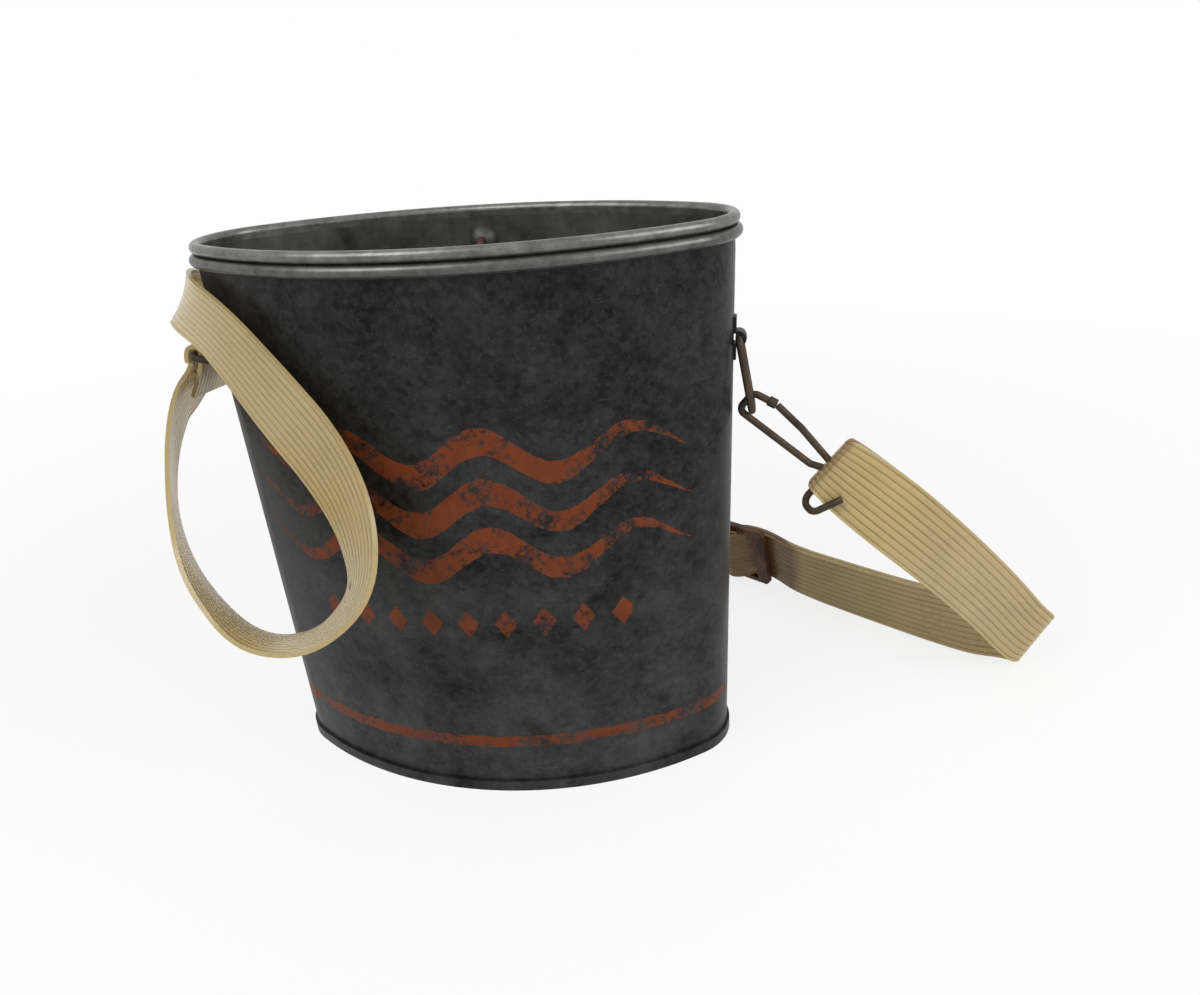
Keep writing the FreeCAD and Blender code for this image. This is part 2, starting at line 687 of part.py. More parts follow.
def straps():
    """Flat solids of the strap's stretches, cut end to end from one curve."""
    stretches = whole_strap()
    stations = sum(stretches.values(), [])
    middle = quadratic([point for point, across in stations])
    edge = quadratic([point + across * (STRAP_WIDTH / 2) for point, across in stations])
    spans = len(stations) - 2
    begin = 0
    counted = 0
    solids = {}
    for name, points in stretches.items():
        counted += len(points)
        end = min(counted - 1, spans)
        sections = []
        for step in range((end - begin) * STEPS_PER_SPAN + 1):
            place = begin + step / STEPS_PER_SPAN
            sections.append(cross_section(middle, edge, place))
        solids[name] = skinned(sections)
        length = middle.length(begin, end)
        share = solids[name].Volume / (STRAP_WIDTH * STRAP_THICKNESS * length)
        print(f"{name}: {length:.0f} mm, volume {share:.3f} of a flat strap, lowest {solids[name].BoundBox.ZMin:.2f}")
        begin = end
    solids["strap_outer"] = solids["strap_outer"].cut(fold_slot())
    return solids


def cross_section(middle, edge, place):
    """Four corners of the strap's flat section at one place along its curve."""
    centre = middle.value(place)
    along = middle.tangent(place)[0]
    across = edge.value(place) - centre
    across = (across - along * across.dot(along)).normalize() * (STRAP_WIDTH / 2)
    out = across.cross(along).normalize() * (STRAP_THICKNESS / 2)
    return [centre + across + out, centre - across + out, centre - across - out, centre + across - out]


def fold_slot():
    """Slot in the strap's fold that lets the snap's two wires in to the bar."""
    slot = Part.makeBox(4 * FOLD_HALF_GAP, 2 * SNAP_WIRE, SLOT_WIDTH)
    slot.translate(Vector(-4 * FOLD_HALF_GAP, -SNAP_WIRE, -SLOT_WIDTH / 2))
    slot.rotate(Vector(0, 0, 0), ACROSS, SNAP_TILT)
    slot.translate(snap_point(SNAP_REACH, 0))
    return slot


def strap_slide():
    """Wire-thick frame with three bars that the strap weaves through."""
    run, across, front = slide_axes()
    inner = STRAP_WIDTH + 2 * SLIDE_PLAY
    length = 2 * SLIDE_PITCH - SLIDE_BAR + 2 * SLIDE_END_BAR
    height = inner + 2 * SLIDE_RAIL
    frame = Part.makeBox(length, height, SLIDE_THICKNESS)
    frame.translate(Vector(-length / 2, -height / 2, -SLIDE_THICKNESS / 2))
    corners = [edge for edge in frame.Edges if abs(edge.tangentAt(edge.FirstParameter).z) > 0.9]
    frame = frame.makeFillet(SLIDE_RAIL, corners)
    gap = SLIDE_PITCH - SLIDE_BAR
    for side in (-1, 1):
        window = Part.makeBox(gap, inner, 2 * SLIDE_THICKNESS)
        window.translate(Vector(side * SLIDE_PITCH / 2 - gap / 2, -inner / 2, -SLIDE_THICKNESS))
        frame = frame.cut(window)
    place = FreeCAD.Matrix(
        run.x, across.x, front.x, SLIDE_CENTRE.x,
        run.y, across.y, front.y, SLIDE_CENTRE.y,
        run.z, across.z, front.z, SLIDE_CENTRE.z,
    )
    return frame.transformGeometry(place)


def nodes():
    """Every separate piece under its own name."""
    return {
        "can_wall": can_wall(),
        "can_bottom": can_bottom(),
        "can_seam": can_seam(),
        "can_rim_wire": around(disc(CAN_RIM_OFFSET, CAN_RIM_Z, RIM_WIRE_RADIUS)),
        "ear_right": ear(1),
        "ear_left": ear(-1),
        "pail_wall": pail_wall(),
        "pail_floor": pail_floor(),
        "pail_rim_wire": around(disc(PAIL_RIM_OFFSET, PAIL_RIM_Z, RIM_WIRE_RADIUS)),
        "boss_front": boss(-1),
        "boss_back": boss(1),
        "bail": bail(),
        "link_right": loop(ear_axis(1), right_link_bar(), RIGHT_LINK_WIDTH, 0.0),
        "link_left": loop(ear_axis(-1), left_link_bar(), LEFT_LINK_WIDTH, LEFT_LINK_SHIFT),
        "snap_hook": snap_hook(),
        "snap_gate": snap_gate(),
        "strap_slide": strap_slide(),
        **straps(),
    }


def main():
    """Write one file for each piece."""
    os.makedirs("parts", exist_ok=True)
    for name, shape in nodes().items():
        solids = shape.Solids
        print(name, "solids", len(solids), "valid", shape.isValid(), "volume", round(shape.Volume, 1))
        body = solids[0] if len(solids) == 1 else shape
        body.exportStep(f"parts/{name}.step")


main()
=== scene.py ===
"""Looks of a wading bait bucket: a worn galvanised can, its lift-out pail and its ribbed vinyl strap.

Metres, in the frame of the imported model: X along the oval, the front faces -Y, Z is up.
"""

import math

import bmesh
import bpy
from mathutils import Matrix, Vector


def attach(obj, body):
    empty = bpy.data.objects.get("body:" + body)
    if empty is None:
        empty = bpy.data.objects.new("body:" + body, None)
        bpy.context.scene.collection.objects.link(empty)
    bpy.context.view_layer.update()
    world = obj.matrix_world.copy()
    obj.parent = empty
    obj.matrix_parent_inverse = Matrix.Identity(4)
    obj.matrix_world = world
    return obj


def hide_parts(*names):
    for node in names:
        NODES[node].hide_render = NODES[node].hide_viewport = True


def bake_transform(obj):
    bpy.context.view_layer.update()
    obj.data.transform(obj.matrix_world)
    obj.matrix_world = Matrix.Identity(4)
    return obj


bl_info = {
    "name": "Wading bait bucket",
    "version": (1, 0, 0),
    "blender": (4, 5, 0),
    "location": "View3D > Sidebar > Bucket",
    "description": "Finishes, strap and stage of a wading bait bucket",
    "category": "Object",
}

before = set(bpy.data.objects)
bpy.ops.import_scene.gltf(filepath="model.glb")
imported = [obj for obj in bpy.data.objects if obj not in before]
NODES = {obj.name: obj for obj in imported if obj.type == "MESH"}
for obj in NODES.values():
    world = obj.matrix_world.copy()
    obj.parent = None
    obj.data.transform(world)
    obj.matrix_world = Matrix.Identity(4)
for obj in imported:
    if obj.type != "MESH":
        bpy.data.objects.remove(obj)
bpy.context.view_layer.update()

# Nodes that share a finish
CAN_SHEET = ("can_wall", "can_bottom", "can_seam", "ear_right", "ear_left")
PAIL_SHEET = ("pail_wall", "pail_floor", "boss_front", "boss_back")
BENT_WIRE = ("can_rim_wire", "pail_rim_wire", "bail", "link_right", "link_left", "snap_hook", "snap_gate")

# The photograph's camera, fitted to the can's outlines
EYE = Vector((0.10169, -0.33534, 0.25804))
VIEW_FORWARD = Vector((-0.1553, 0.9006, -0.4060))
VIEW_UP = Vector((0.00338, 0.41146, 0.91143))
LENS_MM = 28.5
SENSOR_MM = 36.0

# Slide: its centre, its heading and its lean
SLIDE_CENTRE = Vector((0.0946, 0.1297, 0.0176))
SLIDE_HEADING = math.radians(-36.0)
SLIDE_LEAN = math.radians(12.6)

# Strap: places on the slide as (along it, out in front of it), at its fixed end and in its weave
ANCHOR = [
    (0.0041, 0.0028), (-0.0046, 0.0033), (-0.0041, -0.0028),
    (0.0, -0.0028), (0.00775, -0.0059), (0.0195, -0.0059),
]
WEAVE = [
    (0.02325, -0.0028), (0.0115, -0.0038), (0.003875, 0.0064),
    (-0.003875, 0.0064), (-0.0115, -0.0038), (-0.02325, -0.0028),
]

# Strap: half the gap between its two layers, along the doubled stretch and at the snap's bar
LAYER_HALF_GAP = 0.00115
FOLD_HALF_GAP = 0.00275

# Strap: steps of the drawn route in each span, and of the ribs' section
ROUTE_STEPS = 8
RIB_STEPS = 4

# Strap: rust stains as (from, to, strength) in metres along the whole strap: slide, snap and slide again
RUST_STAINS = [(0.0, 0.05, 1.0), (0.3305, 0.3415, 0.6), (0.608, 0.672, 1.0)]

# Strap: a dark nick at the foot of the loop, as (along, across) and its half size
NICK_PLACE = (1.179, -0.0081)
NICK_HALF = (0.0024, 0.0011)

# Strap: where it is gathered narrower, as (span of its route, share of its width, spans to each side)
GATHERS = [
    (12.16, 0.2, 1.0), (20.27, 0.2, 3.5), (20.27, 0.16, 0.9), (28.37, 0.2, 1.0), (49.8, 0.18, 3.0),
]

# Strap: powers that narrow its grooves and the painted shade in them, and the angle from which an edge looks
# sharp
GROOVE_POWER = 2.5
GROOVE_SHADE_POWER = 2.0 * GROOVE_POWER
SHARP_ANGLE = math.radians(50.0)

# Staples: span of the strap's route that each is in, and the length of its legs
ANCHOR_STAPLE = (3, 0.0088)
TAIL_STAPLE = (62.6, 0.0058)

# Staples: radius of their bends, and the sides and bend steps of their wire
STAPLE_BEND = 0.0011
STAPLE_SIDES = 10
STAPLE_BEND_STEPS = 4

# Heights where the two rolled rims begin, and a height that the dust on the can thins out towards
CAN_RIM_FOOT = 0.2047
PAIL_RIM_FOOT = 0.2091
DUST_HEIGHT = 0.2

# Paint on the can: how far its edges wander, the stripe round the foot, and the front that the rest is on
PAINT_WANDER = 0.0022
STRIPE_FOOT = 0.0212
STRIPE_TOP = 0.0262
FRONT_LIMIT_Y = -0.01

# Paint on the can's front: three waves over a row of diamonds
WAVE_LENGTH = 0.05
WAVE_SWING = 0.0065
WAVE_REACH = 0.082
WAVE_HALF_WIDTH = 0.0052
WAVE_HEIGHTS = (0.106, 0.1245, 0.143)
DIAMOND_PITCH = 0.014
DIAMOND_HALF_WIDTH = 0.0042
DIAMOND_SLOPE = 0.7
DIAMOND_HEIGHT = 0.078
DIAMOND_REACH = WAVE_REACH * 0.72

# Stage: lamps as (place, size), the point that they face, and the strength of the light from all sides
KEY_LAMP = (Vector((-0.55, -0.6, 0.95)), 0.7)
FILL_LAMP = (Vector((0.8, -0.35, 0.6)), 0.6)
LAMP_AIM = Vector((0.0, 0.0, 0.1))
AMBIENT = 0.45

# Stage: half size of the floor, its second tone, and its glow as (metres from the can, strength)
FLOOR_HALF = 4.0
FLOOR_TONE = (0.8, 0.8, 0.8)
FLOOR_GLOW = [(0.25, 0.8), (0.8, 1.0)]
WHITE = (1.0, 1.0, 1.0)

# Strap: spans of the route where its pieces meet, and where it ends
RETURN_IN = 8
FOLD_IN = 17
FOLD_OUT = 23
RETURN_OUT = 32
SLIDE_LEFT = 40
LOOP_END = 58
ROUTE_END = 67


def station(x, y, z, across_x, across_y, across_z):
    """One point of the strap's route: its middle and the direction across its width."""
    return Vector((x, y, z)), Vector((across_x, across_y, across_z)).normalized()


# Middle of the doubled strap, from the snap to its far fold on the floor and back to the slide
DOUBLED_RUN = [
    station(0.13321, 0.0, 0.11922, 0.64, 0.0, 0.768),
    station(0.1416, -0.0030, 0.1124, 0.62, 0.12, 0.77),
    station(0.1600, -0.0030, 0.0965, 0.65, 0.32, 0.69),
    station(0.1835, 0.0165, 0.0690, 0.64, 0.20, 0.74),
    station(0.2055, 0.0360, 0.0410, 0.62, 0.20, 0.76),
    station(0.2190, 0.0455, 0.0225, 0.60, 0.20, 0.78),
    station(0.2280, 0.0496, 0.0138, 0.57, 0.20, 0.80),
    station(0.2268, 0.0548, 0.0134, 0.56, 0.20, 0.81),
    station(0.2195, 0.0576, 0.0146, 0.46, 0.14, 0.88),
    station(0.2060, 0.0590, 0.0148, 0.20, 0.04, 0.98),
    station(0.1920, 0.0660, 0.0148, 0.02, 0.00, 1.00),
    station(0.1765, 0.0755, 0.0146, -0.06, -0.07, 1.00),
    station(0.1485, 0.0950, 0.0147, -0.08, -0.10, 0.99),
    station(0.1260, 0.1098, 0.0158, -0.11, -0.15, 0.98),
]

# Middle of the single strap, from the slide behind the can to its left end and the front loop
LONG_RUN = [
    station(0.0580, 0.1500, 0.0174, -0.09, -0.16, 0.98),
    station(0.0260, 0.1570, 0.0220, 0.10, -0.10, 0.99),
    station(-0.0100, 0.1520, 0.0380, 0.30, -0.06, 0.95),
    station(-0.0440, 0.1360, 0.0640, 0.45, 0.00, 0.89),
    station(-0.0740, 0.1120, 0.0980, 0.58, 0.06, 0.81),
    station(-0.0980, 0.0820, 0.1340, 0.68, 0.16, 0.71),
    station(-0.1120, 0.0480, 0.1640, 0.72, 0.22, 0.66),
    station(-0.1157, 0.0122, 0.1900, 0.66, -0.08, 0.75),
    station(-0.1003, -0.0203, 0.1942, 0.56, -0.45, 0.69),
    station(-0.0775, -0.0370, 0.1845, 0.70, -0.32, 0.64),
    station(-0.0580, -0.0455, 0.1630, 0.72, -0.23, 0.66),
    station(-0.0390, -0.0555, 0.1450, 0.74, -0.28, 0.61),
    station(-0.0280, -0.0635, 0.1235, 0.71, -0.50, 0.50),
    station(-0.0280, -0.0715, 0.1020, 0.60, -0.70, 0.40),
    station(-0.0450, -0.0785, 0.0880, 0.56, -0.77, 0.32),
    station(-0.0690, -0.0770, 0.0870, 0.43, -0.86, 0.27),
    station(-0.0905, -0.0660, 0.1010, 0.34, -0.79, 0.32),
    station(-0.1055, -0.0490, 0.1190, 0.48, -0.77, 0.37),
    station(-0.1125, -0.0320, 0.1370, 0.45, -0.77, 0.36),
    station(-0.1155, -0.0149, 0.1510, 0.36, -0.85, 0.32),
    station(-0.1140, -0.0010, 0.1580, 0.17, -0.96, 0.20),
]

# Turn of the strap's end over the left link's outer bar, down to its short tail
LEFT_END = [
    station(-0.1110, 0.0035, 0.1640, 0.05, -1.0, 0.05),
    station(-0.10941, 0.0040, 0.17441, 0.0, -1.0, 0.0),
    station(-0.10291, 0.0040, 0.17441, 0.0, -1.0, 0.0),
    station(-0.10500, 0.0040, 0.16550, 0.0, -1.0, 0.0),
    station(-0.11120, 0.0020, 0.15350, 0.05, -1.0, 0.05),
]


class BucketSettings(bpy.types.PropertyGroup):
    """Sizes and colours of the bucket's finishes, strap and stage."""

    strap_width: bpy.props.FloatProperty(
        name="Strap width",
        description="Width of the flat vinyl strap",
        default=0.028,
        unit="LENGTH",
    )
    strap_thickness: bpy.props.FloatProperty(
        name="Strap thickness",
        description="Thickness of the strap over its ribs",
        default=0.0016,
        unit="LENGTH",
    )
    strap_ribs: bpy.props.IntProperty(
        name="Strap ribs",
        description="Lengthwise grooves across the strap's width",
        default=10,
    )
    rib_depth: bpy.props.FloatProperty(
        name="Rib depth",
        description="Depth of the grooves on each face of the strap",
        default=0.00022,
        unit="LENGTH",
    )
    staple_length: bpy.props.FloatProperty(
        name="Staple length",
        description="Length of the wire staples in the strap's ends",
        default=0.011,
        unit="LENGTH",
    )
    staple_wire: bpy.props.FloatProperty(
        name="Staple wire",
        description="Diameter of the staples' wire",
        default=0.0012,
        unit="LENGTH",
    )
    zinc_dark: bpy.props.FloatVectorProperty(
        name="Dark zinc",
        description="Darkest patches of the can's weathered zinc",
        default=(0.004, 0.0041, 0.0042),
        subtype="COLOR",
    )
    zinc_light: bpy.props.FloatVectorProperty(
        name="Light zinc",
        description="Palest spangles of the can's weathered zinc",
        default=(0.042, 0.0425, 0.043),
        subtype="COLOR",
    )
    pail_dark: bpy.props.FloatVectorProperty(
        name="Dark pail zinc",
        description="Stained patches inside the pail",
        default=(0.024, 0.024, 0.022),
        subtype="COLOR",
    )
    pail_light: bpy.props.FloatVectorProperty(
        name="Light pail zinc",
        description="Clean patches inside the pail",
        default=(0.12, 0.12, 0.108),
        subtype="COLOR",
    )
    paint: bpy.props.FloatVectorProperty(
        name="Paint",
        description="Worn orange paint on the can's front",
        default=(0.2, 0.045, 0.011),
        subtype="COLOR",
    )
    paint_dark: bpy.props.FloatVectorProperty(
        name="Dirty paint",
        description="Darkened patches of the orange paint",
        default=(0.09, 0.02, 0.006),
        subtype="COLOR",
    )
    rubbed: bpy.props.FloatVectorProperty(
        name="Rubbed zinc",
        description="Zinc rubbed pale on the rolled rims",
        default=(0.27, 0.27, 0.255),
        subtype="COLOR",
    )
    dust: bpy.props.FloatVectorProperty(
        name="Dust",
        description="Pale film and scuffs on the can",
        default=(0.14, 0.14, 0.132),
        subtype="COLOR",
    )
    wire_dark: bpy.props.FloatVectorProperty(
        name="Dark wire",
        description="Rusted patches of the bent wire",
        default=(0.016, 0.009, 0.004),
        subtype="COLOR",
    )
    wire_light: bpy.props.FloatVectorProperty(
        name="Light wire",
        description="Rubbed patches of the bent wire",
        default=(0.1, 0.064, 0.036),
        subtype="COLOR",
    )
    slide_brown: bpy.props.FloatVectorProperty(
        name="Slide brown",
        description="Rust-brown plate of the strap's slide",
        default=(0.12, 0.038, 0.008),
        subtype="COLOR",
    )
    vinyl: bpy.props.FloatVectorProperty(
        name="Vinyl",
        description="Yellowed vinyl of the strap",
        default=(0.68, 0.54, 0.26),
        subtype="COLOR",
    )
    # Colour of the grime and specks on the strap, also used for the painted shade in its grooves
    vinyl_dirt_and_groove_shade: bpy.props.FloatVectorProperty(
        name="Vinyl dirt and groove shade",
        description="Grime and painted shade in the strap's grooves",
        default=(0.34, 0.24, 0.09),
        subtype="COLOR",
    )
    strap_rust: bpy.props.FloatVectorProperty(
        name="Strap rust",
        description="Rust that the wires have left in the strap",
        default=(0.2, 0.085, 0.015),
        subtype="COLOR",
    )
    floor_colour: bpy.props.FloatVectorProperty(
        name="Floor",
        description="Pale studio floor",
        default=(0.9, 0.9, 0.9),
        subtype="COLOR",
    )
    key_power: bpy.props.FloatProperty(
        name="Key lamp",
        description="Power of the large lamp over the left of the camera",
        default=7.0,
        unit="POWER",
    )
    fill_power: bpy.props.FloatProperty(
        name="Fill lamp",
        description="Power of the soft lamp on the right",
        default=4.5,
        unit="POWER",
    )


def settings():
    """Settings of the scene that is being dressed."""
    return bpy.context.scene.bucket


class Shade:
    """An output socket of a material or a world, used in Python expressions."""

    def __init__(self, finish, socket):
        self.finish = finish
        self.socket = socket

    def maths(self, operation, first, second):
        """Math node on two values."""
        return self.finish.node("ShaderNodeMath", {"operation": operation}, {0: first, 1: second})

    def __add__(self, other):
        return self.maths("ADD", self, other)

    def __radd__(self, other):
        return self.maths("ADD", other, self)

    def __sub__(self, other):
        return self.maths("SUBTRACT", self, other)

    def __rsub__(self, other):
        return self.maths("SUBTRACT", other, self)

    def __mul__(self, other):
        return self.maths("MULTIPLY", self, other)

    def __rmul__(self, other):
        return self.maths("MULTIPLY", other, self)

    def __truediv__(self, other):
        return self.maths("DIVIDE", self, other)

    def __lt__(self, other):
        return self.maths("LESS_THAN", self, other)

    def __gt__(self, other):
        return self.maths("GREATER_THAN", self, other)

    def __abs__(self):
        return self.maths("ABSOLUTE", self, 0.0)

    def __pow__(self, other):
        return self.maths("POWER", self, other)


class Finish:
    """A material or a world, its shader and the nodes that are added to it."""

    def __init__(self, owner, shader="Principled BSDF"):
        owner.use_nodes = True
        self.owner = owner
        self.tree = owner.node_tree
        self.shader = self.tree.nodes[shader]

    def node(self, kind, options=None, sockets=None, output=0):
        """Add a node: its options first, then the values or links of its sockets."""
        added = self.tree.nodes.new(kind)
        for name, value in (options or {}).items():
            if name == "stops":
                self.set_stops(added.color_ramp, value)
            else:
                setattr(added, name, value)
        for key, value in (sockets or {}).items():
            self.feed(added.inputs[key], value)
        return Shade(self, added.outputs[output])

    def feed(self, socket, value):
        """Set a socket to a number or colour, or link it to another node."""
        if isinstance(value, Shade):
            self.tree.links.new(value.socket, socket)
        elif socket.type == "RGBA":
            socket.default_value = (*value, 1.0)
        else:
            socket.default_value = value

    @staticmethod
    def set_stops(ramp, stops):
        """Place the stops of a grey ramp: (position, value) pairs."""
        while len(ramp.elements) < len(stops):
            ramp.elements.new(0.5)
        for element, (position, value) in zip(ramp.elements, stops):
            element.position = position
            element.color = (value, value, value, 1.0)

    def place(self):
        """Place on the object, in metres."""
        return self.node("ShaderNodeTexCoord", output="Object")

    def strap_place(self):
        """Place on the strap: metres along it and across it."""
        return self.node("ShaderNodeUVMap", {"uv_map": "along_across"})

    def parts(self, vector):
        """The three parts of a vector."""
        split = self.node("ShaderNodeSeparateXYZ", sockets={0: vector})
        outputs = split.socket.node.outputs
        return [Shade(self, outputs[i]) for i in range(3)]

    def stretched(self, vector, scale):
        """Vector stretched by its own factor along each axis."""
        return self.node("ShaderNodeVectorMath", {"operation": "MULTIPLY"}, {0: vector, 1: scale})

    def noise(self, vector, scale, detail=4.0, roughness=0.55):
        """Soft noise from 0 to 1, with so many lumps to the metre."""
        sockets = {"Vector": vector, "Scale": scale, "Detail": detail, "Roughness": roughness}
        return self.node("ShaderNodeTexNoise", sockets=sockets)

    def cells(self, vector, scale):
        """A random grey for each cell of a crystal pattern."""
        sockets = {"Vector": vector, "Scale": scale}
        found = self.node("ShaderNodeTexVoronoi", sockets=sockets, output="Color")
        return self.parts(found)[0]

    def ramp(self, value, *stops):
        """Value carried through a grey ramp."""
        return self.node("ShaderNodeValToRGB", {"stops": stops}, {0: value})

    def mix(self, share, first, second):
        """Colour between two colours."""
        options = {"data_type": "RGBA"}
        return self.node("ShaderNodeMix", options, {"Factor": share, 6: first, 7: second}, output=2)

    def bump(self, height, distance, strength=1.0):
        """Normal of a surface raised by a height from 0 to 1."""
        sockets = {"Height": height, "Distance": distance, "Strength": strength}
        return self.node("ShaderNodeBump", sockets=sockets)

    def dress(self, **sockets):
        """Feed the shader's own sockets, named with underscores."""
        for name, value in sockets.items():
            self.feed(self.shader.inputs[name.replace("_", " ")], value)
        return self.owner

    def background_rays(self):
        """1 for rays that show the white background: seen straight, in metal or through vinyl."""
        paths = self.node("ShaderNodeLightPath").socket.node.outputs
        straight = Shade(self, paths["Is Camera Ray"])
        mirrored = Shade(self, paths["Is Glossy Ray"])
        through = Shade(self, paths["Is Transmission Ray"])
        return (straight + mirrored + through) > 0.5


def between(value, low, high):
    """1 where a value lies between two limits, else 0."""
    return (value > low) * (value < high)


def painted_front(finish, place):
    """Worn paint: a stripe round the foot, and three bold waves over a row of diamonds on the front."""
    x, y, z = finish.parts(place)
    wander = finish.noise(place, scale=160.0, detail=4.0) - 0.5
    height = z + wander * PAINT_WANDER
    stripe = between(height, STRIPE_FOOT, STRIPE_TOP)
    swing = finish.node("ShaderNodeMath", {"operation": "SINE"}, {0: x * (math.tau / WAVE_LENGTH)})
    crest = height - swing * WAVE_SWING
    taper = 1 - x * x / (WAVE_REACH * WAVE_REACH)
    body = taper * WAVE_HALF_WIDTH
    waves = abs(crest - WAVE_HEIGHTS[0]) < body
    for level in WAVE_HEIGHTS[1:]:
        waves = waves + (abs(crest - level) < body)
    repeat = finish.node("ShaderNodeMath", {"operation": "PINGPONG"}, {0: x, 1: DIAMOND_PITCH / 2})
    diamond = (repeat + abs(height - DIAMOND_HEIGHT) * DIAMOND_SLOPE) < DIAMOND_HALF_WIDTH
    row = diamond * (abs(x) < DIAMOND_REACH)
    front = y < FRONT_LIMIT_Y
    drawn = stripe + (waves + row) * front
    grit = finish.noise(place, scale=480.0, detail=6.0, roughness=0.72)
    patches = finish.noise(place, scale=70.0, detail=4.0)
    kept = finish.ramp(grit * 0.6 + patches * 0.55, (0.49, 0.0), (0.6, 1.0))
    return drawn * kept


def can_finish():
    """Dark mottled zinc with spangle, dust near the foot, flecks, scuffs, a rubbed rim and worn paint."""
    chosen = settings()
    finish = Finish(bpy.data.materials.new("can_zinc"))
    place = finish.place()
    z = finish.parts(place)[2]
    cloud = finish.noise(place, scale=24.0, detail=5.0)
    mottle = finish.noise(place, scale=170.0, detail=5.0, roughness=0.65)
    spangle = finish.cells(place, scale=520.0)
    tone = finish.ramp(cloud * 0.5 + mottle * 0.45 + spangle * 0.12, (0.4, 0.0), (0.8, 1.0))
    metal = finish.mix(tone, chosen.zinc_dark, chosen.zinc_light)
    low = finish.ramp(z * (1.0 / DUST_HEIGHT), (0.0, 1.0), (0.9, 0.0))
    film = finish.noise(place, scale=48.0, detail=6.0, roughness=0.7)
    dust = finish.ramp(film, (0.36, 0.0), (0.72, 1.0))
    metal = finish.mix(dust * low * 0.3, metal, chosen.dust)
    specks = finish.noise(place, scale=900.0, detail=2.0)
    flecks = finish.ramp(specks, (0.62, 0.0), (0.72, 1.0))
    streaks = finish.noise(finish.stretched(place, (60.0, 60.0, 1100.0)), scale=1.0, detail=3.0)
    scuff = finish.ramp(streaks, (0.68, 0.0), (0.75, 1.0))
    metal = finish.mix(scuff * 0.2 + flecks * 0.14, metal, chosen.dust)
    rim = z > CAN_RIM_FOOT
    metal = finish.mix(rim * (mottle * 0.6 + 0.05), metal, chosen.rubbed)
    paint = painted_front(finish, place)
    faded = finish.mix(mottle, chosen.paint_dark, chosen.paint)
    colour = finish.mix(paint, metal, faded)
    dull = finish.ramp(cloud * 0.6 + mottle * 0.4, (0.35, 0.34), (0.7, 0.54))
    rough = dull + paint * 0.12 - rim * 0.08
    relief = finish.bump(mottle * 0.5 + spangle * 0.15 + paint * 0.5, distance=0.00012, strength=0.6)
    shine = 0.3 - paint * 0.3 + rim * 0.45
    finish.dress(Base_Color=colour, Metallic=shine, Roughness=rough, Normal=relief)
    return finish.dress(Specular_IOR_Level=0.14)


def pail_finish():
    """Duller zinc inside the pail, with drip marks and brown spots, rubbed pale on its rolled rim."""
    chosen = settings()
    finish = Finish(bpy.data.materials.new("pail_zinc"))
    place = finish.place()
    z = finish.parts(place)[2]
    drips = finish.noise(finish.stretched(place, (80.0, 80.0, 14.0)), scale=1.0, detail=5.0)
    cloud = finish.noise(place, scale=36.0, detail=5.0)
    mottle = finish.noise(place, scale=200.0, detail=5.0, roughness=0.65)
    tone = finish.ramp(drips * 0.4 + cloud * 0.35 + mottle * 0.3, (0.38, 0.0), (0.7, 1.0))
    metal = finish.mix(tone, chosen.pail_dark, chosen.pail_light)
    spots = finish.noise(place, scale=90.0, detail=6.0, roughness=0.7)
    rust = finish.ramp(spots, (0.62, 0.0), (0.74, 1.0))
    metal = finish.mix(rust * 0.5, metal, chosen.wire_dark)
    rim = z > PAIL_RIM_FOOT
    worn = finish.mix(mottle, chosen.zinc_dark, chosen.rubbed)
    colour = finish.mix(rim, metal, worn)
    rough = finish.ramp(cloud, (0.3, 0.45), (0.75, 0.68)) - rim * 0.22
    relief = finish.bump(mottle * 0.5 + rust * 0.3, distance=0.00015, strength=0.5)
    shine = 0.7 - rust * 0.5
    return finish.dress(Base_Color=colour, Metallic=shine, Roughness=rough, Normal=relief)


def wire_finish():
    """Steel wire, rust-brown with rubbed places."""
    chosen = settings()
    finish = Finish(bpy.data.materials.new("rusty_wire"))
    place = finish.place()
    cloud = finish.noise(place, scale=130.0, detail=5.0)
    grit = finish.noise(place, scale=1400.0, detail=3.0)
    tone = finish.ramp(cloud * 0.75 + grit * 0.25, (0.36, 0.0), (0.72, 1.0))
    colour = finish.mix(tone, chosen.wire_dark, chosen.wire_light)
    rough = finish.ramp(cloud, (0.3, 0.75), (0.7, 0.42))
    relief = finish.bump(grit * 0.6 + cloud * 0.4, distance=0.00015, strength=0.6)
    return finish.dress(Base_Color=colour, Metallic=tone * 0.7 + 0.2, Roughness=rough, Normal=relief)


def slide_finish():
    """Rust-brown pressed plate with dark pits."""
    chosen = settings()
    finish = Finish(bpy.data.materials.new("rusty_slide"))
    place = finish.place()
    cloud = finish.noise(place, scale=160.0, detail=5.0)
    pits = finish.noise(place, scale=900.0, detail=4.0, roughness=0.65)
    tone = finish.ramp(cloud * 0.6 + pits * 0.4, (0.35, 0.0), (0.7, 1.0))
    colour = finish.mix(tone, chosen.wire_dark, chosen.slide_brown)
    rough = finish.ramp(cloud, (0.3, 0.8), (0.7, 0.5))
    relief = finish.bump(pits, distance=0.0002, strength=0.7)
    return finish.dress(Base_Color=colour, Metallic=0.1, Roughness=rough, Normal=relief)


